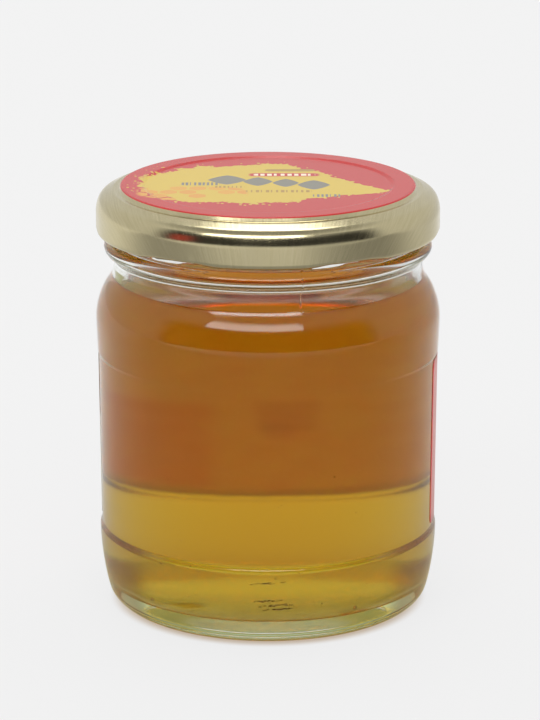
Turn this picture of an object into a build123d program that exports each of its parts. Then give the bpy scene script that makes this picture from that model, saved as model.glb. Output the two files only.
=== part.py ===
from build123d import *
import math
import os

# A round glass jar of honey with a tinplate twist-off lid and a paper label round its back.
# Millimetres, +Z up, origin at the centre of the ring that the jar stands on. The front,
# where the label leaves the glass bare, faces -Y.

# Jar body, from the base up
base_push_up = 1.8          # hollow under the base
base_thickness = 3.6        # glass at the middle of the base
ring_reach = 6.2            # from the heel's corner in to the inner edge of the standing ring
ring_round = 0.7
heel_round = 5.4            # rounding between the standing ring and the foot
foot_inset = 0.43           # the foot lies this far inside the widest radius
foot_lean = 15.0            # degrees that the lower foot leans in
foot_knee = 11.7            # height where the leaning foot meets the upright one
foot_knee_round = 56.0
foot_height = 19.9          # top of the foot, where the label panel starts
step_height = 0.9           # height over which the glass steps in to the label panel
step_round = 0.7
panel_low_inset = 0.93      # label panel, at its foot
panel_high_inset = 0.58     # label panel, at its head
panel_height = 43.6
body_r = 42.78              # widest radius of the whole jar, in the shoulder band
band_low_inset = 0.28       # shoulder band above the label panel, at its foot
band_swell_height = 7.0     # from the band's foot to its widest radius
band_swell_round = 40.0
band_height = 13.1          # from the band's foot to the corner of the shoulder
shoulder_round = 14.0
shoulder_height = 6.3       # from the corner of the shoulder to the corner of the neck
neck_r = 38.35
neck_round = 9.2
neck_height = 4.7           # from the corner of the neck to the bead
side_wall = 2.6
shoulder_wall = 2.9
floor_round = 8.0           # inside, between floor and side
run_fill = 0.99             # share of a straight run that the roundings at its ends may use

# Mouth of the jar
bead_depth = 1.95           # the bead stands out this far from the mouth's wall
bead_height = 2.7
bead_flank = 0.8            # height of the sloping flanks above and below the bead
bead_round = 2.0
bead_root_round = 0.5
finish_r = 38.7             # wall of the mouth, under the lid
finish_height = 11.7        # from the bead's upper flank to the rim
mouth_wall = 3.3
rim_inner_round = 1.0
rim_outer_round = 1.2
ridge_count = 6             # thread ridges, one for each lug of the lid
ridge_depth = 1.7           # the ridges stand out this far from the mouth's wall
ridge_section_r = 1.35
ridge_end_round = 0.9
ridge_drop = 6.2            # from the rim down to the middle of a ridge
ridge_arc = 44.0            # degrees round the mouth
ridge_tilt = 3.2            # degrees, the thread's slope
ridge_lead = 8.0            # degrees from a lug to the middle of the ridge above it

# Honey
headspace = 23.0            # from the rim down to the honey's surface

# Lid
tin = 0.25                  # thickness of the sheet
skirt_clearance = 1.85      # between the ridges and the inside of the skirt
seat_inset = 1.8            # from the mouth's wall in to the inner edge of the lid's seat
seat_width = 1.4            # flat ring of the lid that lies on the rim
panel_edge = 0.6            # width of the slope from the seat up to the raised panel
panel_lift = 1.1            # the raised panel's rim above the seat
panel_rim_width = 5.0
panel_recess = 0.35         # the middle of the panel lies this far under its rim
panel_recess_slope = 1.0
shoulder_slope = 24.0       # degrees that the ring outside the seat falls
panel_round = 1.0           # roundings of the sheet, from the middle outwards
panel_rim_round = 0.5
seat_round = 0.4
lid_corner_round = 4.0
lid_height = 11.55          # from the raised panel's rim down to the curl
curl_r = 0.95               # outer radius of the curled edge
curl_sweep = 255.0          # degrees
lug_count = 6
lug_first = -122.0          # degrees from +X, seen from above
lug_arc = 22.0              # degrees
lug_lift = 0.6              # the pressed curl at a lug ends this far above the rest
lug_height = 1.45
lug_reach = 2.9             # from the skirt's outside in to the tip of a lug
lug_tip_round = 0.5

# Label
label_thickness = 0.15
label_gap_low = 0.9         # bare glass between the step and the label, below
label_gap_high = 0.3        # and above
label_start = -15.0         # degrees from +X, seen from above
label_arc = 197.0
label_corner = 1.5

# Heights that follow
panel_bottom = foot_height + step_height
panel_top = panel_bottom + panel_height
band_bottom = panel_top + step_height
shoulder_corner = band_bottom + band_height
neck_corner = shoulder_corner + shoulder_height
bead_bottom = neck_corner + neck_height
bead_top = bead_bottom + 2 * bead_flank + bead_height
glass_top = bead_top + finish_height
floor_z = base_push_up + base_thickness
honey_level = glass_top - headspace
mouth_r = finish_r - mouth_wall
bead_r = finish_r + bead_depth
foot_r = body_r - foot_inset
heel_r = foot_r - foot_knee * math.tan(math.radians(foot_lean))
contact_r = heel_r - ring_reach
panel_low_r = body_r - panel_low_inset
panel_high_r = body_r - panel_high_inset
band_low_r = body_r - band_low_inset
lid_top = glass_top + tin + panel_lift
lid_bottom = lid_top - lid_height
lid_r = finish_r + ridge_depth + skirt_clearance + tin
skirt_middle = lid_bottom + 0.45 * lid_height


def turned(section, start=0, arc=360):
    """A section of radius and height, turned about the jar's axis."""
    return Rot(0, 0, start) * revolve(Plane.XZ * section, Axis.Z, arc)


def revolved(outline, start=0, arc=360):
    """The section inside a closed outline, turned about the jar's axis."""
    return turned(make_face(outline), start, arc)


def turn_share(before, corner, after):
    """How much of each neighbouring run a corner uses up for each millimetre of its rounding."""
    into = Vector(corner[0] - before[0], corner[1] - before[1])
    out_of = Vector(after[0] - corner[0], after[1] - corner[1])
    return math.tan(math.radians(into.get_angle(out_of)) / 2)


def side_lines(corners):
    """A closed outline from (radius, height, rounding) corners. Two roundings too large for the run
    between them both shrink in step until the run holds them."""
    count = len(corners)
    shares = [turn_share(corners[i - 1], corners[i], corners[(i + 1) % count]) for i in range(count)]
    roundings = [rounding for _, _, rounding in corners]
    for i in range(count):
        j = (i + 1) % count
        run = math.dist(corners[i][:2], corners[j][:2])
        used = corners[i][2] * shares[i] + corners[j][2] * shares[j]
        if used > run_fill * run:
            roundings[i] = min(roundings[i], corners[i][2] * run_fill * run / used)
            roundings[j] = min(roundings[j], corners[j][2] * run_fill * run / used)
    return FilletPolyline(*[(r, z) for r, z, _ in corners], radius=roundings, close=True)


def inside_corners():
    """The jar's inside from the middle of its floor to the mouth."""
    return [
        (0, floor_z, 0),
        (panel_low_r - side_wall, floor_z, floor_round),
        (body_r - shoulder_wall, shoulder_corner - 0.3 * shoulder_wall, shoulder_round - shoulder_wall),
        (mouth_r, neck_corner - 0.15 * shoulder_wall, neck_round + shoulder_wall),
    ]


def outside_corners():
    """The jar's outside from the rim down to the middle of the base."""
    return [
        (finish_r, bead_top, bead_root_round),
        (bead_r, bead_top - bead_flank, bead_round),
        (bead_r, bead_bottom + bead_flank, bead_round),
        (neck_r, bead_bottom, bead_root_round),
        (neck_r, neck_corner, neck_round),
        (body_r, shoulder_corner, shoulder_round),
        (body_r, band_bottom + band_swell_height, band_swell_round),
        (band_low_r, band_bottom, step_round),
        (panel_high_r, panel_top, step_round),
        (panel_low_r, panel_bottom, step_round),
        (foot_r, foot_height, step_round),
        (foot_r, foot_knee, foot_knee_round),
        (heel_r, 0, heel_round),
        (contact_r, 0, ring_round),
        (contact_r - base_push_up, base_push_up, ring_round),
        (0, base_push_up, 0),
    ]


def thread_ridge(middle):
    """One raised thread on the mouth, round-ended, its clockwise end the lower one."""
    centre_r = finish_r + ridge_depth - ridge_section_r
    bar = revolve(Plane.XZ * Location((centre_r, 0)) * Circle(ridge_section_r), Axis.Z, ridge_arc)
    ends = bar.edges().filter_by(lambda edge: abs(edge.length - 2 * math.pi * ridge_section_r) < 0.01)
    ridge = Rot(0, 0, -ridge_arc / 2) * fillet(ends, ridge_end_round)
    return Rot(0, 0, middle) * Pos(0, 0, glass_top - ridge_drop) * Rot(ridge_tilt, 0, 0) * ridge


def evenly_round(count, first):
    """Angles spread evenly round the jar, degrees from +X seen from above."""
    return [first + i * 360 / count for i in range(count)]


def make_glass_jar():
    rim = [(mouth_r, glass_top, rim_inner_round), (finish_r, glass_top, rim_outer_round)]
    jar = revolved(side_lines(inside_corners() + rim + outside_corners()))
    for angle in evenly_round(ridge_count, lug_first + ridge_lead):
        jar += thread_ridge(angle)
    return jar


def make_honey():
    inside = revolved(side_lines(inside_corners() + [(mouth_r, glass_top, 0), (0, glass_top, 0)]))
    size = 4 * body_r
    air = Pos(0, 0, honey_level) * Box(size, size, size, align=(Align.CENTER, Align.CENTER, Align.MIN))
    return inside - air


def sheet(*path):
    """The sheet in section, from lines that its outer face follows from the middle outwards."""
    edges = [edge for line in path for edge in line.edges()]
    return make_face(offset(Wire(edges), tin, side=Side.RIGHT))


def lid_top_section():
    """The panel, the seat on the rim, the sloping ring and the upper half of the skirt."""
    seat_r = finish_r - seat_inset
    seat_z = glass_top + tin
    rim_r = seat_r - panel_edge
    recess_r = rim_r - panel_rim_width
    slope_r = seat_r + seat_width
    corner_z = seat_z - (lid_r - slope_r) * math.tan(math.radians(shoulder_slope))
    return sheet(FilletPolyline(
        (0, lid_top - panel_recess),
        (recess_r - panel_recess_slope, lid_top - panel_recess),
        (recess_r, lid_top),
        (rim_r, lid_top),
        (seat_r, seat_z),
        (slope_r, seat_z),
        (lid_r, corner_z),
        (lid_r, skirt_middle),
        radius=[panel_round, panel_round, panel_rim_round, seat_round, seat_round, lid_corner_round],
    ))


def curled_section():
    """The lower skirt between two lugs, its edge rolled in."""
    curl_z = lid_bottom + curl_r
    return sheet(
        Line((lid_r, skirt_middle), (lid_r, curl_z)),
        CenterArc((lid_r - curl_r, curl_z), curl_r, 0, -curl_sweep),
    )


def lug_section():
    """The lower skirt at a lug, where the curl is pressed flat and pushed in under the thread."""
    low = lid_bottom + lug_lift
    return make_face(FilletPolyline(
        (lid_r, low),
        (lid_r, skirt_middle),
        (lid_r - tin, skirt_middle),
        (lid_r - tin, low + lug_height),
        (lid_r - lug_reach, low + lug_height),
        (lid_r - lug_reach, low),
        radius=[0, 0, 0, 0, lug_tip_round, lug_tip_round],
        close=True,
    ))


def make_lid():
    between = 360 / lug_count - lug_arc
    lid = turned(lid_top_section())
    for angle in evenly_round(lug_count, lug_first):
        lid += turned(lug_section(), angle - lug_arc / 2, lug_arc)
        lid += turned(curled_section(), angle + lug_arc / 2, between)
    return lid


def make_label():
    low = panel_bottom + label_gap_low
    high = panel_top - label_gap_high
    rise = (panel_high_r - panel_low_r) / panel_height
    low_r = panel_low_r + rise * (low - panel_bottom)
    high_r = panel_low_r + rise * (high - panel_bottom)
    section = Polyline(
        (low_r, low),
        (low_r + label_thickness, low),
        (high_r + label_thickness, high),
        (high_r, high),
        close=True,
    )
    label = revolved(section, label_start, label_arc)
    corners = label.edges().filter_by(lambda edge: abs(edge.length - label_thickness) < 0.01)
    return fillet(corners, label_corner)


parts = {
    "glass_jar": make_glass_jar(),
    "honey": make_honey(),
    "lid": make_lid(),
    "label": make_label(),
}

os.makedirs("parts", exist_ok=True)
for name, part in parts.items():
    part.label = name
    export_step(part, f"parts/{name}.step")
    print(name, "solids", len(part.solids()), "valid", part.is_valid, "volume", round(part.volume, 1))
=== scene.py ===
import bmesh
import bpy
import math
import random
from mathutils import Matrix, Vector, noise


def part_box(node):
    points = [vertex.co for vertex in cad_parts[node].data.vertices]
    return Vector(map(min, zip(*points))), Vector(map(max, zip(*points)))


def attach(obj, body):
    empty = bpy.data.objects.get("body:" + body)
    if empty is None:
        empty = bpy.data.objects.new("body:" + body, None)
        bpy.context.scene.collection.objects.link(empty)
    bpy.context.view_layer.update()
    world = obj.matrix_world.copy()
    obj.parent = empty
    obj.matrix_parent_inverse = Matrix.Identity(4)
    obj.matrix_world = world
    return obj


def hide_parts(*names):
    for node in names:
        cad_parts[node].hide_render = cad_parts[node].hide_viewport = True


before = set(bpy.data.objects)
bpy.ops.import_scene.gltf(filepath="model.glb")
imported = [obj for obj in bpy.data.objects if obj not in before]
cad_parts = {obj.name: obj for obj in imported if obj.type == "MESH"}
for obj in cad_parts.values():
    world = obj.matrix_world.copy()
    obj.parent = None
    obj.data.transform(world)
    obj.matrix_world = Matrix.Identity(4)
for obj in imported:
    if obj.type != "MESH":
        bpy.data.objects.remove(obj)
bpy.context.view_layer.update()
scene = bpy.context.scene
mm = 0.001
print("frame loaded, nodes", sorted(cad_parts))


# helpers for shader trees
def feed(tree, socket, value):
    if isinstance(value, bpy.types.NodeSocket):
        tree.links.new(value, socket)
    else:
        socket.default_value = value


def calc(tree, operation, *values, clamp=False):
    node = tree.nodes.new("ShaderNodeMath")
    node.operation = operation
    node.use_clamp = clamp
    for socket, value in zip(node.inputs, values):
        feed(tree, socket, value)
    return node.outputs[0]


def times(tree, first, second):
    return calc(tree, "MULTIPLY", first, second)


def remap(tree, value, low, high, toLow=0.0, toHigh=1.0, curve="SMOOTHSTEP"):
    node = tree.nodes.new("ShaderNodeMapRange")
    node.interpolation_type = curve
    for name, number in (("Value", value), ("From Min", low), ("From Max", high), ("To Min", toLow),
                         ("To Max", toHigh)):
        feed(tree, node.inputs[name], number)
    return node.outputs["Result"]


def blendColour(tree, factor, first, second):
    node = tree.nodes.new("ShaderNodeMix")
    node.data_type = "RGBA"
    for index, value in ((0, factor), (6, first), (7, second)):
        feed(tree, node.inputs[index], value)
    return node.outputs[2]


def blendValue(tree, factor, first, second):
    node = tree.nodes.new("ShaderNodeMix")
    for index, value in ((0, factor), (2, first), (3, second)):
        feed(tree, node.inputs[index], value)
    return node.outputs[0]


def windowOf(tree, value, low, high, edge):
    rise = remap(tree, value, low - edge, low + edge)
    fall = remap(tree, value, high - edge, high + edge, 1.0, 0.0)
    return times(tree, rise, fall)


def axesOf(tree, source="Object"):
    coords = tree.nodes.new("ShaderNodeTexCoord")
    split = tree.nodes.new("ShaderNodeSeparateXYZ")
    tree.links.new(coords.outputs[source], split.inputs["Vector"])
    return [split.outputs[name] for name in "XYZ"]


def objectPlace(tree, scale=(1, 1, 1)):
    coords = tree.nodes.new("ShaderNodeTexCoord")
    mapping = tree.nodes.new("ShaderNodeMapping")
    mapping.inputs["Scale"].default_value = scale
    tree.links.new(coords.outputs["Object"], mapping.inputs["Vector"])
    return mapping.outputs["Vector"]


def cloudy(tree, place, scale, detail=2.0, roughness=0.5):
    node = tree.nodes.new("ShaderNodeTexNoise")
    node.inputs["Scale"].default_value = scale
    node.inputs["Detail"].default_value = detail
    node.inputs["Roughness"].default_value = roughness
    tree.links.new(place, node.inputs["Vector"])
    return node.outputs["Fac"]


def bumpOf(tree, height, strength, distance):
    node = tree.nodes.new("ShaderNodeBump")
    node.inputs["Strength"].default_value = strength
    node.inputs["Distance"].default_value = distance
    tree.links.new(height, node.inputs["Height"])
    return node.outputs["Normal"]


def newMaterial(name, **inputs):
    material = bpy.data.materials.new(name)
    material.use_nodes = True
    shader = material.node_tree.nodes["Principled BSDF"]
    for key, value in inputs.items():
        shader.inputs[key].default_value = value
    return material, material.node_tree, shader


def absorbing(tree, colour, density):
    depth = tree.nodes.new("ShaderNodeVolumeAbsorption")
    depth.inputs["Color"].default_value = colour
    depth.inputs["Density"].default_value = density
    tree.links.new(depth.outputs["Volume"], tree.nodes["Material Output"].inputs["Volume"])


# helpers for meshes
turning = {
    "steps": 288,          # faces once round
    "segmentLength": 0.55,  # mm of arc for each segment of a rounding
    "supportGap": 0.35,    # mm from a rounding to the loop that keeps its neighbour's shading flat
}


def arcSegments(rounding, turn):
    return max(4, min(16, math.ceil(rounding * turn / turning["segmentLength"])))


def profileWire(corners, rowGap=6.0):
    # corners are (radius, height, rounding) in mm, from one end of the line to the other
    bm = bmesh.new()
    verts = [bm.verts.new((r * mm, 0, z * mm)) for r, z, _ in corners]
    for pair in zip(verts, verts[1:]):
        bm.edges.new(pair)
    for i in range(1, len(corners) - 1):
        rounding = corners[i][2]
        if rounding:
            before, here, after = (Vector(corners[j][:2]) for j in (i - 1, i, i + 1))
            turn = (here - before).angle(after - here)
            offset = rounding * math.tan(turn / 2) * mm
            bmesh.ops.bevel(bm, geom=[verts[i]], offset=offset, offset_type="OFFSET", affect="VERTICES",
                            segments=arcSegments(rounding, turn), profile=0.5, material=-1)
    for edge in [e for e in bm.edges if e.calc_length() > 3 * turning["supportGap"] * mm]:
        for vert in edge.verts[:]:
            live = [e for e in vert.link_edges if e.calc_length() > 2 * turning["supportGap"] * mm]
            if vert.co.x > 1e-6 and live:
                longest = max(live, key=lambda e: e.calc_length())
                bmesh.utils.edge_split(longest, vert, turning["supportGap"] * mm / longest.calc_length())
    for edge in [e for e in bm.edges if e.calc_length() > rowGap * mm]:
        bmesh.ops.subdivide_edges(bm, edges=[edge], cuts=int(edge.calc_length() / (rowGap * mm)))
    return bm


def spinRound(bm, steps):
    bmesh.ops.spin(bm, geom=bm.verts[:] + bm.edges[:], cent=(0, 0, 0), axis=(0, 0, 1), dvec=(0, 0, 0),
                   angle=math.radians(360), steps=steps, use_merge=True)
    bmesh.ops.remove_doubles(bm, verts=bm.verts[:], dist=1e-6)
    bmesh.ops.recalc_face_normals(bm, faces=bm.faces[:])
    bm.normal_update()
    return bm


def joinInto(bm, other):
    mesh = bpy.data.meshes.new("joining")
    other.to_mesh(mesh)
    other.free()
    bm.from_mesh(mesh)
    bpy.data.meshes.remove(mesh)
    bmesh.ops.remove_doubles(bm, verts=bm.verts[:], dist=1e-6)
    bmesh.ops.recalc_face_normals(bm, faces=bm.faces[:])
    return bm


def makePiece(name, bm, materials, node=None):
    mesh = bpy.data.meshes.new(name)
    bm.to_mesh(mesh)
    bm.free()
    for polygon in mesh.polygons:
        polygon.use_smooth = True
    for material in materials:
        mesh.materials.append(material)
    piece = bpy.data.objects.new(name, mesh)
    scene.collection.objects.link(piece)
    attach(piece, "root")
    if node:
        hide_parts(node)
    print(name, "faces", len(mesh.polygons))
    return piece


def degreesOf(point):
    return math.degrees(math.atan2(point.y, point.x))


def between(value, low, high):
    t = max(0.0, min(1.0, (value - low) / (high - low)))
    return t * t * (3 - 2 * t)


def angleGap(first, second):
    return (first - second + 180) % 360 - 180


def outwardOf(vert):
    # a wall's normal, turned away from the jar's middle
    away = Vector((vert.co.x, vert.co.y, -0.3 * mm))
    return vert.normal if vert.normal.dot(away) > 0 else -vert.normal


# sizes that the pieces share, mm
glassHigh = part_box("glass_jar")[1]
honeyLow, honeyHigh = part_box("honey")
lidLow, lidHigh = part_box("lid")
labelLow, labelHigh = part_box("label")
jar = {
    "glassTop": glassHigh.z / mm,
    "bodyR": glassHigh.x / mm,
    "floorZ": honeyLow.z / mm,
    "mouthR": 35.4,
    "finishR": 38.7,
    "neckR": 38.35,
    "beadR": 40.65,
    "beadTop": 93.7,
    "beadBottom": 89.4,
    "neckCorner": 84.7,
    "shoulderCorner": 78.4,
    "bandSwell": 72.3,
    "bandBottom": 65.3,
    "bandLowR": 42.5,
    "panelTop": 64.4,
    "panelHighR": 42.2,
    "panelBottom": 20.8,
    "panelLowR": 41.85,
    "footTop": 19.9,
    "footR": 42.35,
    "footKnee": 11.7,
    "heelR": 39.215,
    "contactR": 33.015,
    "pushUp": 1.8,
    "innerLowR": 39.25,
    "innerHighR": 39.88,
    "innerShoulder": 77.53,
    "innerNeck": 84.265,
    "seamTurn": 12.0,       # the mould's joint lies this far right of the front, and opposite
    "seamHeight": 0.28,     # on the bead and neck, where it shows
    "seamLow": 0.012,       # further down
    "seamHalf": 0.35,       # degrees
    "seamRise": (83, 86),   # heights over which it grows from low to full
    "rimStart": 101.5,      # where the inside wall meets the rim's piece
    "ridgeZone": (94, 103.6),       # heights between which the thread's ridges stand
    "ridgeRun": (95, 103.2),        # the part of the mouth's wall with closer rows for them
    "ridgeRows": 9,
    "skinZone": (0.3, 103),         # heights between which the outside is a little uneven
    "skinFromR": 37.5,
    "tint": (0.98, 0.992, 0.982, 1),
    "depthTint": (0.86, 0.97, 0.93, 1),
    "density": 7.0,
    "ior": 1.5,
}
insideCorners = [
    (0, jar["floorZ"], 0),
    (jar["innerLowR"], jar["floorZ"], 8.0),
    (jar["innerHighR"], jar["innerShoulder"], 11.1),
    (jar["mouthR"], jar["innerNeck"], 8.9),
    (jar["mouthR"], jar["rimStart"], 0),
]
rimAndOutside = [
    (jar["mouthR"], jar["rimStart"], 0),
    (jar["mouthR"], jar["glassTop"], 1.0),
    (jar["finishR"], jar["glassTop"], 1.2),
    (jar["finishR"], jar["beadTop"], 0.5),
    (jar["beadR"], jar["beadTop"] - 0.8, 2.0),
    (jar["beadR"], jar["beadBottom"] + 0.8, 2.0),
    (jar["neckR"], jar["beadBottom"], 1.3),
    (jar["neckR"], jar["neckCorner"], 6.0),
    (jar["bodyR"], jar["shoulderCorner"], 14.0),
    (jar["bodyR"], jar["bandSwell"], 40.0),
    (jar["bandLowR"], jar["bandBottom"], 0.7),
    (jar["panelHighR"], jar["panelTop"], 0.7),
    (jar["panelLowR"], jar["panelBottom"], 1.6),
    (jar["footR"], jar["footTop"], 1.6),
    (jar["footR"], jar["footKnee"], 56.0),
    (jar["heelR"], 0, 5.4),
    (jar["contactR"], 0, 0.7),
    (jar["contactR"] - jar["pushUp"], jar["pushUp"], 0.7),
    (0, jar["pushUp"], 0),
]
waves = {
    "wide": 0.14,      # mm, long swells of the inside wall
    "wideScale": 45.0,
    "fine": 0.035,
    "fineScale": 130.0,
    "neck": 0.22,      # mm more at the neck, where the glass runs uneven
    "neckLow": 78,
    "neckHigh": 86,
    "skin": 0.012,     # mm, on the outside
    "skinScale": 55.0,
    "fadeLow": 96.0,
    "fadeHigh": 101.0,
}


def waveAt(point):
    # how far the inside wall strays from a true surface of revolution
    swell = noise.noise(point * waves["wideScale"]) * waves["wide"]
    ripple = noise.noise(point * waves["fineScale"] + Vector((7, 3, 1))) * waves["fine"]
    neckShare = between(point.z / mm, waves["neckLow"], waves["neckHigh"])
    squeezed = Vector((point.x * 60, point.y * 60, point.z * 110))
    slump = noise.noise(squeezed + Vector((2, 9, 4))) * waves["neck"]
    fade = 1 - between(point.z / mm, waves["fadeLow"], waves["fadeHigh"])
    return (swell + ripple + neckShare * slump) * fade * mm


def waveInside(bm):
    for vert in bm.verts:
        vert.co += outwardOf(vert) * waveAt(vert.co.copy())
    bm.normal_update()


threads = {
    "count": 6,
    "first": -114.0,     # degrees from +X to the middle of one ridge
    "halfArc": 22.0,
    "height": 1.7,
    "sectionR": 1.35,
    "drop": 6.2,
    "slope": 3.2,
    "endRound": 1.9,     # degrees
}


def ridgeAt(angle, z):
    # how far a thread ridge stands out of the mouth's wall, mm
    section, half = threads["sectionR"], threads["halfArc"]
    for i in range(threads["count"]):
        off = angleGap(angle, threads["first"] + 360 / threads["count"] * i)
        if abs(off) < half:
            rise = jar["finishR"] * math.sin(math.radians(off)) * math.sin(math.radians(threads["slope"]))
            above = z - (jar["glassTop"] - threads["drop"] + rise)
            if abs(above) < section:
                bulge = threads["height"] - section + math.sqrt(section ** 2 - above ** 2)
                ending = max(0.0, (abs(off) - half + threads["endRound"]) / threads["endRound"])
                return bulge * math.sqrt(max(0.0, 1 - ending ** 2))
    return 0.0


def makeGlassMaterial(name, tint):
    material, tree, shader = newMaterial(name, **{
        "Base Color": jar["tint"], "Roughness": 0.0, "IOR": jar["ior"], "Transmission Weight": 1.0,
        "Specular Tint": tint})
    place = objectPlace(tree)
    soft = cloudy(tree, place, 38.0, 3.0)
    smudge = cloudy(tree, place, 140.0, 4.0)
    tree.links.new(remap(tree, smudge, 0.55, 0.8, 0.0, 0.02), shader.inputs["Roughness"])
    tree.links.new(bumpOf(tree, soft, 0.12, 0.0006), shader.inputs["Normal"])
    absorbing(tree, jar["depthTint"], jar["density"])
    return material


def cutSeams(bm):
    # three loops each side of the jar, so that the mould's joint can stand proud
    for offset in (-jar["seamHalf"], 0.0, jar["seamHalf"]):
        angle = math.radians(-90 + jar["seamTurn"] + offset)
        bmesh.ops.bisect_plane(bm, geom=bm.verts[:] + bm.edges[:] + bm.faces[:], dist=1e-7,
                               plane_co=(0, 0, 0), plane_no=(-math.sin(angle), math.cos(angle), 0))
    bm.normal_update()


def makeGlassJar():
    inner = spinRound(profileWire(insideCorners, 3.0), turning["steps"])
    cutSeams(inner)
    waveInside(inner)
    wire = profileWire(rimAndOutside, 4.0)
    runLow, runHigh = jar["ridgeRun"]
    finishRun = [e for e in wire.edges if all(abs(v.co.x - jar["finishR"] * mm) < 1e-6 for v in e.verts)
                 and all(runLow * mm < v.co.z < runHigh * mm for v in e.verts)]
    bmesh.ops.subdivide_edges(wire, edges=finishRun, cuts=jar["ridgeRows"])
    outer = spinRound(wire, turning["steps"])
    cutSeams(outer)
    for vert in outer.verts:
        r = vert.co.xy.length / mm
        z = vert.co.z / mm
        angle = degreesOf(vert.co)
        out = Vector((vert.co.x, vert.co.y, 0)).normalized()
        if abs(r - jar["finishR"]) < 0.02 and jar["ridgeZone"][0] < z < jar["ridgeZone"][1]:
            vert.co += out * ridgeAt(angle, z) * mm
        elif r > jar["skinFromR"] and jar["skinZone"][0] < z < jar["skinZone"][1]:
            skin = noise.noise(vert.co * waves["skinScale"]) * waves["skin"]
            seam = min(abs(angleGap(angle, side + jar["seamTurn"])) for side in (-90, 90))
            proud = jar["seamLow"] + (jar["seamHeight"] - jar["seamLow"]) * between(z, *jar["seamRise"])
            raised = proud if seam < 0.5 * jar["seamHalf"] else 0.0
            vert.co += vert.normal * (skin + raised - waves["skin"]) * mm
    whole = joinInto(outer, inner)
    for face in whole.faces:
        centre = face.calc_center_median()
        inwards = face.normal.dot(Vector((centre.x, centre.y, -4 * mm)).normalized()) < 0
        if inwards and jar["floorZ"] - 0.3 < centre.z / mm < honeyHigh.z / mm + 0.9:
            face.material_index = 1
    bare = makeGlassMaterial("clearGlass", (1, 1, 1, 1))
    wetted = makeGlassMaterial("wettedGlass", (0, 0, 0, 1))    # honey on glass hardly reflects
    return makePiece("glassJar", whole, [bare, wetted], "glass_jar")


honey = {
    "reach": 0.05,          # mm into the wall
    "level": honeyHigh.z / mm,
    # mm in from the wall, and up from the level
    "meniscus": [(0.0, 0.9), (0.25, 0.52), (0.6, 0.26), (1.1, 0.1), (1.8, 0.03), (3.0, 0.0), (9.0, 0.0),
                 (20.0, 0.0)],
    "tint": (0.98, 0.8, 0.02, 1),
    "density": 52.0,
    "ior": 1.49,
    "haze": 0.1,            # softens what is seen through it
}


def makeHoneyMaterial(name, tint):
    material, tree, shader = newMaterial(name, **{
        "Base Color": (1, 1, 1, 1), "Roughness": honey["haze"], "IOR": honey["ior"],
        "Transmission Weight": 1.0, "Specular Tint": tint})
    place = objectPlace(tree)
    slow = cloudy(tree, place, 25.0, 2.0)
    tree.links.new(bumpOf(tree, slow, 0.05, 0.0005), shader.inputs["Normal"])
    absorbing(tree, honey["tint"], honey["density"])
    return material


def makeHoney():
    bm = spinRound(profileWire(insideCorners, 3.0), turning["steps"])
    waveInside(bm)
    for vert in bm.verts:
        vert.co += outwardOf(vert) * honey["reach"] * mm
    cutZ = (honey["level"] + honey["meniscus"][0][1]) * mm
    bmesh.ops.bisect_plane(bm, geom=bm.verts[:] + bm.edges[:] + bm.faces[:], dist=1e-7,
                           plane_co=(0, 0, cutZ), plane_no=(0, 0, 1), clear_outer=True)
    rim = [e for e in bm.edges if e.is_boundary]
    for before, after in zip(honey["meniscus"], honey["meniscus"][1:]):
        made = bmesh.ops.extrude_edge_only(bm, edges=rim)
        ring = [v for v in made["geom"] if isinstance(v, bmesh.types.BMVert)]
        for vert in ring:
            r = vert.co.xy.length
            share = (r - (after[0] - before[0]) * mm) / r
            vert.co = Vector((vert.co.x * share, vert.co.y * share, (honey["level"] + after[1]) * mm))
        rim = [e for e in made["geom"] if isinstance(e, bmesh.types.BMEdge) and e.is_boundary]
    bmesh.ops.contextual_create(bm, geom=rim)
    bmesh.ops.recalc_face_normals(bm, faces=bm.faces[:])
    for face in bm.faces:
        if face.calc_center_median().z / mm > honey["level"] - 0.02 and face.normal.z > 0.3:
            face.material_index = 1
    wetting = makeHoneyMaterial("honeyAmber", (0, 0, 0, 1))
    surface = makeHoneyMaterial("honeySurface", (1, 1, 1, 1))
    return makePiece("honeyFill", bm, [wetting, surface], "honey")


lid = {
    "top": lidHigh.z / mm,
    "bottom": lidLow.z / mm,
    "outerR": lidHigh.x / mm,
    "recess": 0.35,
    "recessR": 31.3,
    "rimR": 36.3,
    "seatR": 36.9,
    "seatZ": jar["glassTop"] + 0.25,
    "slopeR": 38.3,
    "curl": 0.95,
    "tin": 0.25,
    "lugs": 6,
    "lugFirst": -122.0,
    "lugHalf": 11.0,
    "lugRamp": 5.0,
    "lugLift": 0.6,
    "lugPress": 0.76,   # height of the pressed curl against the round one
    "lugPush": 1.0,     # mm further in
    "lugZone": 4.0,     # mm up from the lower edge that the lugs' press reaches
    "steps": 300,
    "goldDark": (0.58, 0.51, 0.3, 1),
    "goldLight": (0.66, 0.585, 0.365, 1),
    "grain": (3200, 90, 1),     # rolled sheet: fine across, long along
}


def lugShare(angle):
    pitch = 360 / lid["lugs"]
    nearest = min(abs(angleGap(angle, lid["lugFirst"] + pitch * i)) for i in range(lid["lugs"]))
    return 1 - between(nearest, lid["lugHalf"] - lid["lugRamp"], lid["lugHalf"] + lid["lugRamp"])


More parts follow.
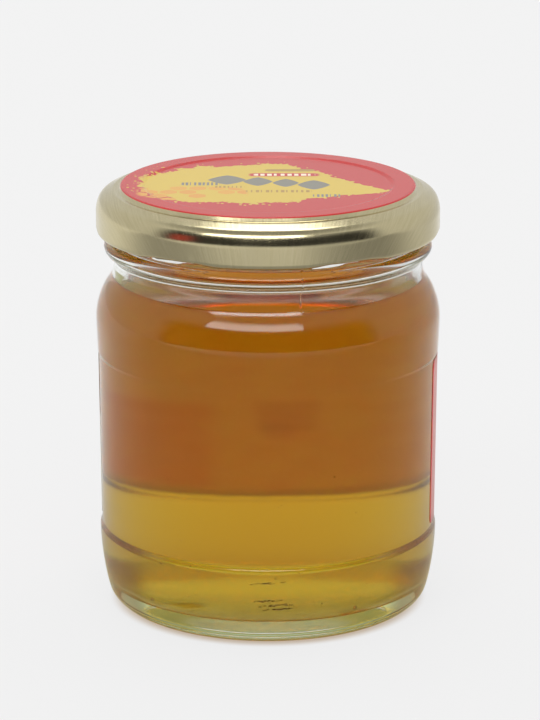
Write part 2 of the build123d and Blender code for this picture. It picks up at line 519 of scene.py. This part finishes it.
def makeGoldMaterial():
    material, tree, shader = newMaterial("goldLacquer", **{
        "Base Color": (0.6, 0.55, 0.38, 1), "Metallic": 1.0, "Roughness": 0.18})
    flat = tree.nodes.new("ShaderNodeAttribute")
    flat.attribute_name = "flatSheet"
    stretch = tree.nodes.new("ShaderNodeMapping")
    stretch.inputs["Scale"].default_value = lid["grain"]
    tree.links.new(flat.outputs["Vector"], stretch.inputs["Vector"])
    grain = cloudy(tree, stretch.outputs["Vector"], 1.0, 3.0, 0.6)
    patch = cloudy(tree, objectPlace(tree), 90.0, 3.0)
    tone = blendColour(tree, remap(tree, grain, 0.3, 0.7), lid["goldDark"], lid["goldLight"])
    tree.links.new(tone, shader.inputs["Base Color"])
    fineRough = remap(tree, grain, 0.3, 0.7, 0.15, 0.21)
    wideRough = remap(tree, patch, 0.3, 0.7, -0.02, 0.02)
    tree.links.new(calc(tree, "ADD", fineRough, wideRough), shader.inputs["Roughness"])
    tree.links.new(bumpOf(tree, grain, 0.25, 0.00004), shader.inputs["Normal"])
    return material


printed = {
    "centreX": -0.7,       # mm, the print sits a little off the lid's middle
    "red": (0.43, 0.012, 0.01, 1),
    "yellow": (0.55, 0.385, 0.028, 1),
    "grey": (0.17, 0.16, 0.12, 1),
    "brown": (0.34, 0.2, 0.02, 1),
    "pale": (0.8, 0.68, 0.5, 1),
    "darkCell": (0.58, 0.22, 0.02, 1),
    "lightCell": (0.6, 0.32, 0.02, 1),
    "honeycomb": (-0.49, -0.26, 0.37, 0.2),     # middle and half sizes, shares of the panel's radius
    "cell": 0.13,
    "cellsLeftOut": 0.3,
    "ragged": 0.34,             # how far the splash's edge is torn
    "splashHalf": 0.86,
    "splashThin": (0.15, 0.87, 0.58, 0.05),     # from and to along the lid, half height there
    "splashDrop": (0.2, 0.85, 0.22),            # its right end lies nearer the front
    "splashLift": 0.03,
    "drops": 26.0,
    "dropSize": 0.42,
    "dropsLeftOut": 0.45,
    # middle, half sizes, power, colour
    "shapes": [
        (-0.26, 0.14, 0.13, 0.14, 1.3, "grey"),
        (-0.05, 0.09, 0.1, 0.13, 1.3, "grey"),
        (0.14, 0.05, 0.09, 0.12, 1.3, "grey"),
        (0.33, -0.01, 0.11, 0.14, 1.3, "grey"),
        (0.13, 0.3, 0.24, 0.05, 6, "red"),
        (0.17, 0.44, 0.17, 0.035, 6, "brown"),
    ],
    # middle, half sizes, number of marks, share that is filled, colour
    "rows": [
        (0.13, 0.3, 0.21, 0.03, 9, 0.6, "pale"),
        (0.09, -0.2, 0.22, 0.035, 13, 0.5, "brown"),
        (-0.44, 0.02, 0.13, 0.045, 9, 0.5, "grey"),
        (0.42, -0.33, 0.1, 0.04, 7, 0.4, "grey"),
        (-0.24, -0.07, 0.1, 0.03, 7, 0.5, "brown"),
    ],
}


def spotOf(tree, u, v, spot, power, edge=0.06):
    # one inside a rounded box, nothing outside it
    shares = []
    for value, middle, half in ((u, spot[0], spot[2]), (v, spot[1], spot[3])):
        out = calc(tree, "ABSOLUTE", calc(tree, "DIVIDE", calc(tree, "SUBTRACT", value, middle), half))
        shares.append(calc(tree, "POWER", out, power))
    return remap(tree, calc(tree, "ADD", *shares), 1 - edge * power, 1 + edge * power, 1.0, 0.0)


def rowOf(tree, u, v, spot, marks, share):
    # a row of short upright marks of uneven width
    inside = spotOf(tree, u, v, spot, 8)
    cells = times(tree, calc(tree, "SUBTRACT", u, spot[0] - spot[2]), marks / (2 * spot[2]))
    pick = tree.nodes.new("ShaderNodeTexWhiteNoise")
    pick.noise_dimensions = "1D"
    tree.links.new(calc(tree, "ADD", calc(tree, "FLOOR", cells), 100 * spot[1]), pick.inputs["W"])
    width = calc(tree, "MULTIPLY_ADD", pick.outputs["Value"], 0.5, share - 0.25)
    return times(tree, inside, calc(tree, "LESS_THAN", calc(tree, "FRACT", cells), width))


def hexCells(tree, u, v, size):
    # distance to the nearest edge of a hexagonal cell, and a number for each cell
    best = None
    for shift in (0.0, 0.5):
        local = []
        for value, step in ((u, size), (v, size * math.sqrt(3))):
            share = calc(tree, "ADD", calc(tree, "DIVIDE", value, step), shift)
            offMiddle = calc(tree, "SUBTRACT", calc(tree, "FRACT", share), 0.5)
            local.append((times(tree, offMiddle, step), calc(tree, "FLOOR", share)))
        (x, columnX), (y, columnY) = local
        flatX = calc(tree, "ABSOLUTE", x)
        flatY = calc(tree, "ABSOLUTE", y)
        slope = calc(tree, "ADD", times(tree, flatX, 0.5), times(tree, flatY, math.sqrt(3) / 2))
        reach = calc(tree, "MAXIMUM", flatX, slope)
        number = calc(tree, "ADD", times(tree, columnX, 3.7 + shift), times(tree, columnY, 7.3))
        if best is None:
            best = (reach, number)
        else:
            nearer = calc(tree, "LESS_THAN", reach, best[0])
            best = (calc(tree, "MINIMUM", reach, best[0]), blendValue(tree, nearer, best[1], number))
    return calc(tree, "DIVIDE", best[0], size / 2), best[1]


def makePrintMaterial():
    material, tree, shader = newMaterial("lidEnamel", **{
        "Base Color": printed["red"], "Roughness": 0.22, "IOR": 1.42})
    x, y, _ = axesOf(tree)
    u = calc(tree, "DIVIDE", calc(tree, "SUBTRACT", x, printed["centreX"] * mm), lid["rimR"] * mm)
    v = calc(tree, "DIVIDE", y, lid["rimR"] * mm)
    ragged = cloudy(tree, objectPlace(tree, (1, 1.6, 1)), 120.0, 4.0, 0.65)
    shake = remap(tree, ragged, 0.2, 0.8, -printed["ragged"], printed["ragged"], "LINEAR")
    # the splash: pointed at its right end
    dropLow, dropHigh, drop = printed["splashDrop"]
    dropped = times(tree, remap(tree, u, dropLow, dropHigh), -drop)
    middleV = calc(tree, "SUBTRACT", dropped, -printed["splashLift"])
    thin = remap(tree, u, *printed["splashThin"], "LINEAR")
    across = calc(tree, "POWER", calc(tree, "ABSOLUTE", calc(tree, "DIVIDE", u, printed["splashHalf"])), 2.6)
    up = calc(tree, "ABSOLUTE", calc(tree, "DIVIDE", calc(tree, "SUBTRACT", v, middleV), thin))
    spread = calc(tree, "ADD", calc(tree, "ADD", across, calc(tree, "POWER", up, 2.0)), shake)
    splash = remap(tree, spread, 0.94, 1.0, 1.0, 0.0)
    drops = tree.nodes.new("ShaderNodeTexVoronoi")
    drops.inputs["Scale"].default_value = printed["drops"]
    flat = tree.nodes.new("ShaderNodeCombineXYZ")
    tree.links.new(u, flat.inputs[0])
    tree.links.new(v, flat.inputs[1])
    tree.links.new(flat.outputs[0], drops.inputs["Vector"])
    size = remap(tree, spread, 0.95, 1.5, printed["dropSize"], 0.0, "LINEAR")
    pick = tree.nodes.new("ShaderNodeSeparateXYZ")
    tree.links.new(drops.outputs["Color"], pick.inputs["Vector"])
    size = times(tree, size, calc(tree, "GREATER_THAN", pick.outputs["X"], printed["dropsLeftOut"]))
    spatter = calc(tree, "LESS_THAN", drops.outputs["Distance"], size)
    yellow = calc(tree, "MAXIMUM", splash, spatter)
    colour = blendColour(tree, yellow, printed["red"], printed["yellow"])
    reach, number = hexCells(tree, u, v, printed["cell"])
    draw = tree.nodes.new("ShaderNodeTexWhiteNoise")
    draw.noise_dimensions = "1D"
    tree.links.new(number, draw.inputs["W"])
    filled = calc(tree, "GREATER_THAN", draw.outputs["Value"], printed["cellsLeftOut"])
    comb = times(tree, remap(tree, reach, 0.82, 0.92, 1.0, 0.0), filled)
    comb = times(tree, comb, spotOf(tree, u, v, printed["honeycomb"], 3))
    cell = blendColour(tree, draw.outputs["Value"], printed["darkCell"], printed["lightCell"])
    colour = blendColour(tree, comb, colour, cell)
    for *spot, power, tone in printed["shapes"]:
        colour = blendColour(tree, spotOf(tree, u, v, spot, power), colour, printed[tone])
    for *spot, marks, share, tone in printed["rows"]:
        colour = blendColour(tree, rowOf(tree, u, v, spot, marks, share), colour, printed[tone])
    tree.links.new(colour, shader.inputs["Base Color"])
    return material


def makeLid():
    outerR = lid["outerR"]
    curl = lid["curl"]
    path = [
        (0, lid["top"] - lid["recess"], 0),
        (lid["recessR"] - 1.0, lid["top"] - lid["recess"], 1.0),
        (lid["recessR"], lid["top"], 1.0),
        (lid["rimR"], lid["top"], 0.5),
        (lid["seatR"], lid["seatZ"], 0.4),
        (lid["slopeR"], lid["seatZ"], 0.4),
        (outerR - 1.19, lid["seatZ"] - 1.337, 2.65),
        (outerR, lid["seatZ"] - 3.484, 5.95),
        (outerR, lid["bottom"], curl * 0.995),
        (outerR - 2 * curl, lid["bottom"], curl * 0.995),
        (outerR - 2 * curl, lid["bottom"] + 2 * curl, curl * 0.9),
        (outerR - 1.1 * curl, lid["bottom"] + 2 * curl, 0),
    ]
    bm = spinRound(profileWire(path, 3.0), lid["steps"])
    top = max(bm.faces, key=lambda f: f.calc_center_median().z)
    if top.normal.z < 0:
        bmesh.ops.reverse_faces(bm, faces=bm.faces[:])
    layer = bm.verts.layers.float_vector.new("flatSheet")
    for vert in bm.verts:
        r = vert.co.xy.length
        flatR = r + (lid["top"] * mm - vert.co.z)
        share = flatR / max(r, 1e-6)
        vert[layer] = Vector((vert.co.x * share, vert.co.y * share, 0))
    for vert in bm.verts:
        z = vert.co.z / mm
        if z < lid["bottom"] + lid["lugZone"]:
            r = vert.co.xy.length / mm
            share = lugShare(degreesOf(vert.co))
            inward = max(0.0, min(1.0, (outerR - r) / (2 * curl)))
            pressed = lid["bottom"] + lid["lugLift"] + (z - lid["bottom"]) * lid["lugPress"]
            fade = 1 - between(z, lid["bottom"] + 2 * curl, lid["bottom"] + lid["lugZone"])
            newR = r - share * inward * lid["lugPush"]
            newZ = z + (pressed - z) * share * fade
            vert.co = Vector((vert.co.x * newR / r, vert.co.y * newR / r, newZ * mm))
    bm.normal_update()
    bmesh.ops.solidify(bm, geom=bm.faces[:], thickness=lid["tin"] * mm)
    bm.normal_update()
    for face in bm.faces:
        centre = face.calc_center_median()
        onPanel = centre.xy.length < (lid["rimR"] + 0.15) * mm and centre.z > lid["seatZ"] * mm
        if onPanel and face.normal.z > 0.2:
            face.material_index = 1
    return makePiece("lidShell", bm, [makeGoldMaterial(), makePrintMaterial()], "lid")


label = {
    "low": labelLow.z / mm,
    "high": labelHigh.z / mm,
    "start": -15.0,
    "arc": 197.0,
    "thickness": 0.15,
    "sunk": 0.04,
    "corner": 1.5,
    "endArc": 2.4,       # degrees at each end that carry the corners' roundings
    "red": (0.55, 0.03, 0.03, 1),
    "pink": (0.5, 0.2, 0.18, 1),
    "grey": (0.62, 0.58, 0.5, 1),
    "brown": (0.3, 0.2, 0.14, 1),
    "paper": (0.93, 0.76, 0.62, 1),
    "paperDark": (0.9, 0.72, 0.58, 1),
    "fibre": (0.9, 0.8, 0.76, 1),
    "paleEnd": (-10.2, 4.0, 1.2),       # y from and to, edge, mm
    "leftEnd": (2.0, 6.0),              # y over which the fields at the left end stop
    "brownFrom": (47, 49),              # z where grey turns brown there
    "rows": 15,
    "columns": 190,      # between the two ends
    "endColumns": 8,
    # painted show-through: light from behind the paper, reddened by the far side's print in one field and
    # dimmed by it in the others
    # x from and to, z from and to, edge (mm), share, colour
    "paintedShowThrough": [
        (-11.5, -5.0, 24, 46, 1.2, 0.2, (0.8, 0.36, 0.3, 1)),
        (-1.0, 4.4, 39, 47, 0.5, 0.3, (0.6, 0.5, 0.42, 1)),
        (-0.5, 2.2, 37, 41, 0.4, 0.2, (0.55, 0.45, 0.38, 1)),
    ],
}


def makeLabelMaterials():
    inner, tree, shader = newMaterial("labelBack", **{
        "Base Color": label["paper"], "Roughness": 0.7, "Subsurface Weight": 1.0,
        "Subsurface Radius": (1.0, 0.8, 0.7), "Subsurface Scale": 0.0006, "Specular Tint": (0, 0, 0, 1)})
    x, _, z = axesOf(tree)
    clouds = cloudy(tree, objectPlace(tree), 300.0, 3.0)
    tone = blendColour(tree, remap(tree, clouds, 0.35, 0.65), label["paper"], label["paperDark"])
    # painted light and shade: red light from behind through the paper and its print in one field, painted
    # shade where the print blocks that light in the others
    for lowX, highX, lowZ, highZ, edge, share, colour in label["paintedShowThrough"]:
        field = times(tree, windowOf(tree, x, lowX * mm, highX * mm, edge * mm),
                      windowOf(tree, z, lowZ * mm, highZ * mm, edge * mm))
        tone = blendColour(tree, times(tree, field, share), tone, colour)
    tree.links.new(tone, shader.inputs["Base Color"])
    outer, tree, shader = newMaterial("labelPrint", **{"Base Color": label["red"], "Roughness": 0.38})
    x, y, z = axesOf(tree)
    right = remap(tree, x, 0.0, 0.001)
    # pale towards the right end, its last millimetre darker; grey and brown at the left end
    pale = times(tree, right, windowOf(tree, y, *(size * mm for size in label["paleEnd"])))
    colour = blendColour(tree, pale, label["red"], label["pink"])
    stop = remap(tree, y, *(size * mm for size in label["leftEnd"]), 1.0, 0.0)
    left = times(tree, calc(tree, "SUBTRACT", 1.0, right), stop)
    upper = remap(tree, z, *(size * mm for size in label["brownFrom"]))
    leftTone = blendColour(tree, upper, label["grey"], label["brown"])
    colour = blendColour(tree, left, colour, leftTone)
    fibres = cloudy(tree, objectPlace(tree, (1, 1, 2.5)), 900.0, 3.0)
    tree.links.new(bumpOf(tree, fibres, 0.1, 0.00002), shader.inputs["Normal"])
    mottled = blendColour(tree, remap(tree, fibres, 0.4, 0.7, 0.0, 0.04), colour, label["fibre"])
    tree.links.new(mottled, shader.inputs["Base Color"])
    return [outer, inner]


def makeLabel():
    slope = (jar["panelHighR"] - jar["panelLowR"]) / (jar["panelTop"] - jar["panelBottom"])
    lowR = jar["panelLowR"] + slope * (label["low"] - jar["panelBottom"])
    highR = jar["panelLowR"] + slope * (label["high"] - jar["panelBottom"])
    bm = bmesh.new()
    foot = bm.verts.new(((lowR + label["thickness"]) * mm, 0, label["low"] * mm))
    head = bm.verts.new(((highR + label["thickness"]) * mm, 0, label["high"] * mm))
    bm.edges.new((foot, head))
    bmesh.ops.subdivide_edges(bm, edges=bm.edges[:], cuts=label["rows"])
    bmesh.ops.rotate(bm, verts=bm.verts[:], cent=(0, 0, 0),
                     matrix=Matrix.Rotation(math.radians(label["start"]), 3, "Z"))
    column = bm.verts[:] + bm.edges[:]
    ending = (label["endArc"], label["endColumns"])
    for arc, steps in (ending, (label["arc"] - 2 * label["endArc"], label["columns"]), ending):
        made = bmesh.ops.spin(bm, geom=column, cent=(0, 0, 0), axis=(0, 0, 1), dvec=(0, 0, 0),
                              angle=math.radians(arc), steps=steps)
        column = made["geom_last"]
    bmesh.ops.remove_doubles(bm, verts=bm.verts[:], dist=1e-7)
    middle = (label["low"] + label["high"]) / 2
    half = (label["high"] - label["low"]) / 2
    corner = label["corner"]
    for vert in bm.verts:
        r = vert.co.xy.length / mm
        angle = angleGap(degreesOf(vert.co), label["start"] + label["arc"] / 2)
        fromEnd = math.radians(label["arc"] / 2 - abs(angle)) * r
        if fromEnd < corner:
            cut = corner - math.sqrt(max(0.0, corner ** 2 - (corner - fromEnd) ** 2))
            z = vert.co.z / mm
            vert.co.z = (middle + (z - middle) * (half - cut) / half) * mm
    bmesh.ops.recalc_face_normals(bm, faces=bm.faces[:])
    first = bm.faces[:][0]
    if first.normal.dot(first.calc_center_median()) < 0:
        bmesh.ops.reverse_faces(bm, faces=bm.faces[:])
    bm.normal_update()
    bmesh.ops.solidify(bm, geom=bm.faces[:], thickness=(label["thickness"] + label["sunk"]) * mm)
    bm.normal_update()
    for face in bm.faces:
        centre = face.calc_center_median()
        if face.normal.dot(Vector((centre.x, centre.y, 0)).normalized()) < -0.5:
            face.material_index = 1
    return makePiece("paperLabel", bm, makeLabelMaterials(), "label")


bits = {
    "bubbles": [(-27.3, -26.2, 8.05, 0.45), (20.6, -31.9, 7.9, 0.52)],   # x, y, z and radius, mm
    "inWall": 0.2,      # what clings to the glass lies this far into it, clear of the honey's skin
    "specks": 230,
    "speckSize": (0.07, 0.16),
    "speckAngles": (-168, -12),     # degrees from +X, round the front
    "speckLow": 7.5,
    "speckReach": 40,               # mm up the wall, most of them low
    "onFloor": 0.4,                 # share of them that lie on the floor
    "floorR": 33,
    "overFloor": 0.35,
    "streaks": [(0.2, 16.6, 8.0), (0.0, 12.0, 7.0), (1.4, 10.8, 7.4), (2.4, 9.7, 6.8)],   # x, z, length
    "streakGrains": 30,
    "streakSize": (0.07, 0.15),
    "streakTilt": 0.05,
    "dark": (0.1, 0.035, 0.006, 1),
    "light": (0.26, 0.11, 0.03, 1),
    "seed": 11,
    # inside wall where they cling: a corner of this radius round (cornerMiddleR, cornerTop), then a lean
    "cornerR": 8,
    "cornerTop": 13.4,
    "cornerMiddleR": 31.25,
    "lean": 0.011,
}


def innerRadius(z):
    # inside wall of the jar at a height, mm
    if z < bits["cornerTop"]:
        sunk = bits["cornerTop"] - z
        return bits["cornerMiddleR"] + math.sqrt(max(0.0, bits["cornerR"] ** 2 - sunk ** 2))
    return jar["innerLowR"] + bits["lean"] * (z - bits["cornerTop"])


def makeBits():
    shine = newMaterial("bubbleAir", **{"Base Color": (1, 1, 1, 1), "Roughness": 0.0, "IOR": 0.671,
                                        "Transmission Weight": 1.0})[0]
    bm = bmesh.new()
    for x, y, z, radius in bits["bubbles"]:
        spot = Matrix.Translation((x * mm, y * mm, z * mm))
        bmesh.ops.create_icosphere(bm, subdivisions=4, radius=radius * mm, matrix=spot)
    makePiece("bubbles", bm, [shine])
    sediment, tree, shader = newMaterial("sediment", **{"Base Color": bits["dark"], "Roughness": 0.6})
    patch = cloudy(tree, objectPlace(tree), 700.0, 2.0)
    tree.links.new(blendColour(tree, patch, bits["dark"], bits["light"]), shader.inputs["Base Color"])
    chance = random.Random(bits["seed"])
    bm = bmesh.new()
    for _ in range(bits["specks"]):
        onFloor = chance.random() < bits["onFloor"]
        angle = math.radians(chance.uniform(*bits["speckAngles"]))
        if onFloor:
            r = bits["floorR"] * math.sqrt(chance.uniform(0.05, 1))
            z = jar["floorZ"] + bits["overFloor"]
        else:
            z = bits["speckLow"] + bits["speckReach"] * chance.random() ** 2
            r = innerRadius(z) + bits["inWall"]
        size = chance.uniform(*bits["speckSize"]) * mm
        spot = Matrix.Translation((r * math.cos(angle) * mm, r * math.sin(angle) * mm, z * mm))
        lengths = [chance.uniform(0.7, 2.2), chance.uniform(0.7, 1.3), chance.uniform(0.5, 1.0)]
        stretch = Matrix.Diagonal((*lengths, 1))
        turn = Matrix.Rotation(chance.uniform(0, math.pi), 4, "Z")
        bmesh.ops.create_icosphere(bm, subdivisions=1, radius=size, matrix=spot @ turn @ stretch)
    for x, z, length in bits["streaks"]:
        for _ in range(bits["streakGrains"]):
            along = x + chance.triangular(-0.6, 0.6) * length
            height = z + bits["streakTilt"] * (along - x) + chance.uniform(-0.22, 0.22)
            r = innerRadius(height) + bits["inWall"]
            spot = Matrix.Translation((along * mm, -math.sqrt(r * r - along * along) * mm, height * mm))
            stretch = Matrix.Diagonal((chance.uniform(1.5, 4.5), 0.6, chance.uniform(0.5, 1.0), 1))
            size = chance.uniform(*bits["streakSize"]) * mm
            bmesh.ops.create_icosphere(bm, subdivisions=1, radius=size, matrix=spot @ stretch)
    makePiece("sedimentBits", bm, [sediment])


white = 0.863     # the pale floor and backdrop
rayKinds = ("Camera", "Glossy", "Transmission")


def greyOf(tree, value):
    colour = tree.nodes.new("ShaderNodeCombineColor")
    for socket in colour.inputs:
        feed(tree, socket, value)
    return colour.outputs[0]


ground = {
    "size": 6.0,
    "shadowShare": 0.1,
    "near": 0.3,                # what polished things see of the floor close in front
    "nearY": (-0.12, 0.22),
    "far": 0.8,                 # and further out
    "farY": (-0.45, -0.28),
    "dim": 0.72,                # and towards the right
    "dimX": (0.12, 0.36),
    "shadowUnderJar": (0.56, 0.5, 0.3, 1),            # painted shadow under the jar, tinted amber by light through the honey, seen through the glass
    "shadowUnderR": (40, 80),                         # mm
    "contactShade": (0.22, 0.13, 0.03, 1),      # the same, at the jar's front edge
    "frontY": (-0.026, -0.012),
    "contact": (0.6, 0.5, 0.4, 1),              # the narrow shade round the foot
    "contactR": (36.5, 40.5),                   # mm
}


def makeFloor():
    material = bpy.data.materials.new("paleFloor")
    material.use_nodes = True
    tree = material.node_tree
    tree.nodes.remove(tree.nodes["Principled BSDF"])
    path = tree.nodes.new("ShaderNodeLightPath")
    isCamera, isGlossy, isThrough = (path.outputs[f"Is {name} Ray"] for name in rayKinds)
    diffuse = tree.nodes.new("ShaderNodeBsdfDiffuse")
    diffuse.inputs["Color"].default_value = (0.8, 0.8, 0.8, 1)
    glow = tree.nodes.new("ShaderNodeEmission")
    x, y, _ = axesOf(tree)
    length = tree.nodes.new("ShaderNodeVectorMath")
    length.operation = "LENGTH"
    tree.links.new(objectPlace(tree), length.inputs[0])
    radius = length.outputs["Value"]
    near = remap(tree, y, *ground["nearY"], ground["near"], white)
    far = remap(tree, y, *ground["farY"], ground["far"] - ground["near"], 0.0)
    dimRight = remap(tree, x, *ground["dimX"], 1.0, ground["dim"])
    mirrored = times(tree, calc(tree, "ADD", near, far), dimRight)
    plain = blendValue(tree, isGlossy, white, mirrored)
    # painted shadow on the floor under the jar, for all rays but the camera's
    under = remap(tree, radius, *(size * mm for size in ground["shadowUnderR"]), 1.0, 0.0)
    frontEdge = remap(tree, y, *ground["frontY"], 1.0, 0.0)
    shade = blendColour(tree, frontEdge, ground["shadowUnderJar"], ground["contactShade"])
    hidden = blendColour(tree, under, greyOf(tree, plain), shade)
    edge = remap(tree, radius, *(size * mm for size in ground["contactR"]), 1.0, 0.0)
    shown = blendColour(tree, edge, greyOf(tree, white), ground["contact"])
    tree.links.new(blendColour(tree, isCamera, hidden, shown), glow.inputs["Color"])
    glow.inputs["Strength"].default_value = 1.0
    seen = calc(tree, "ADD", calc(tree, "ADD", isCamera, isGlossy), isThrough, clamp=True)
    share = times(tree, seen, 1 - ground["shadowShare"])
    mixer = tree.nodes.new("ShaderNodeMixShader")
    tree.links.new(share, mixer.inputs[0])
    tree.links.new(diffuse.outputs[0], mixer.inputs[1])
    tree.links.new(glow.outputs[0], mixer.inputs[2])
    tree.links.new(mixer.outputs[0], tree.nodes["Material Output"].inputs["Surface"])
    bm = bmesh.new()
    bmesh.ops.create_grid(bm, x_segments=1, y_segments=1, size=ground["size"] / 2)
    mesh = bpy.data.meshes.new("floor")
    bm.to_mesh(mesh)
    bm.free()
    mesh.materials.append(material)
    floor = bpy.data.objects.new("floor", mesh)
    scene.collection.objects.link(floor)
    return floor


# places are parts of a direction: x to the right, y away from the camera, z up
room = {
    "sky": 0.95,
    "mirroredSky": 0.7,
    "zenith": 0.35,
    "zenithZ": (0.7, 0.92),
    "frontDark": 0.03,
    "frontY": (-0.38, -0.08),
    "frontZ": (0.4, 0.75),
    "overhead": 4.0,
    "overheadX": (-0.24, 0.24, 0.04),       # from, to, edge
    "overheadY": (0.22, 0.5, 0.03),
    "overheadZ": (0.5, 0.6),
    "backLight": 2.45,      # low behind the jar, shines through the label's paper
    "backLightY": (0.15, 0.4),
    "backLightZ": (0.0, 0.6, 0.05),
    "softbox": 5.5,
    "softboxAside": (-1.1, 0.49, 0.02),     # x over -y
    "softboxLow": (0.52, 0.56),
    "softboxHigh": (0.66, 0.8),
    "redThing": (0.45, 0.07, 0.06, 1),      # something red in the room, mirrored by the skirt
    "redAside": (-2.3, -1.3, 0.2),
    "redZ": (0.0, 0.32, 0.08),
}


def mirroredRoom(tree, x, y, z, isGlossy):
    # the room as polished and matte things see it
    inFront = remap(tree, y, *room["frontY"], 1.0, 0.0)
    dark = times(tree, inFront, remap(tree, z, *room["frontZ"], 1.0, 0.0))
    roof = remap(tree, z, *room["zenithZ"], room["mirroredSky"], room["zenith"])
    light = blendValue(tree, dark, roof, room["frontDark"])
    overhead = times(tree, windowOf(tree, y, *room["overheadY"]), windowOf(tree, x, *room["overheadX"]))
    overhead = times(tree, overhead, remap(tree, z, *room["overheadZ"]))
    light = calc(tree, "ADD", light, times(tree, overhead, room["overhead"]))
    backLight = times(tree, windowOf(tree, z, *room["backLightZ"]), remap(tree, y, *room["backLightY"]))
    matte = blendValue(tree, backLight, room["sky"], room["backLight"])
    light = blendValue(tree, isGlossy, matte, light)
    sideways = calc(tree, "DIVIDE", x, calc(tree, "MAXIMUM", times(tree, y, -1.0), 0.05))
    upright = times(tree, remap(tree, z, *room["softboxLow"]), remap(tree, z, *room["softboxHigh"], 1.0, 0.0))
    box = times(tree, windowOf(tree, sideways, *room["softboxAside"]), upright)
    light = calc(tree, "ADD", light, times(tree, box, room["softbox"]))
    redThing = times(tree, windowOf(tree, sideways, *room["redAside"]), windowOf(tree, z, *room["redZ"]))
    redThing = times(tree, redThing, times(tree, isGlossy, inFront))
    return blendColour(tree, redThing, greyOf(tree, light), room["redThing"])


backdrop = {
    "low": (0.3, 0.28, 0.07, 1),
    "rising": [(0.27, 0.38, (0.59, 0.68, 0.42, 1)), (0.47, 0.54, (0.7, 0.88, 0.7, 1)),
               (0.56, 0.62, (0.36, 0.3, 0.16, 1))],     # z from and to, colour from there on
    "level": ((0.22, 0.36), (0.11, 0.15)),              # white straight behind: x, z where it ends
    "side": (0.34, 0.31, 0.17, 1),
    "sideX": (0.54, 0.7),
    "sideZ": (0.05, 0.15),
    "behindY": (-0.35, 0.05),
}


def clearBackdrop(tree, x, z):
    # what clear things show of what lies behind the jar
    across = calc(tree, "ABSOLUTE", x)
    levelX, levelZ = backdrop["level"]
    level = times(tree, remap(tree, z, *levelZ, 1.0, 0.0), remap(tree, across, *levelX, 1.0, 0.0))
    colour = blendColour(tree, level, backdrop["low"], greyOf(tree, white))
    for start, end, tone in backdrop["rising"]:
        colour = blendColour(tree, remap(tree, z, start, end), colour, tone)
    aside = times(tree, remap(tree, across, *backdrop["sideX"]), remap(tree, z, *backdrop["sideZ"]))
    return blendColour(tree, aside, colour, backdrop["side"])


def makeWorld():
    world = bpy.data.worlds.new("paleStudio")
    scene.world = world
    world.use_nodes = True
    tree = world.node_tree
    back = tree.nodes["Background"]
    x, y, z = axesOf(tree, "Generated")
    path = tree.nodes.new("ShaderNodeLightPath")
    isCamera, isGlossy, isThrough = (path.outputs[f"Is {name} Ray"] for name in rayKinds)
    behind = times(tree, isThrough, remap(tree, y, *backdrop["behindY"]))
    lit = blendColour(tree, behind, mirroredRoom(tree, x, y, z, isGlossy), clearBackdrop(tree, x, z))
    tree.links.new(blendColour(tree, isCamera, lit, (white, white, white, 1)), back.inputs["Color"])
    back.inputs["Strength"].default_value = 1.0


view = {
    "place": (0.0005, -0.830, 0.2969),
    "down": 15.84,      # degrees that it looks down
    "lens": 172.4,
}


def makeCamera():
    data = bpy.data.cameras.new("camera")
    data.lens = view["lens"]
    data.sensor_width = 36
    data.clip_start = 0.05
    data.clip_end = 50
    camera = bpy.data.objects.new("camera", data)
    camera.location = view["place"]
    camera.rotation_euler = (math.radians(90 - view["down"]), 0, 0)
    scene.collection.objects.link(camera)
    scene.camera = camera


scene.view_settings.view_transform = "Standard"
scene.cycles.max_bounces = 24
scene.cycles.transmission_bounces = 24
scene.cycles.glossy_bounces = 8
scene.cycles.diffuse_bounces = 4
makeCamera()
makeFloor()
makeWorld()
print("stage set")
makeGlassJar()
makeHoney()
makeLid()
makeLabel()
makeBits()
print("pieces made")

bpy.context.view_layer.update()
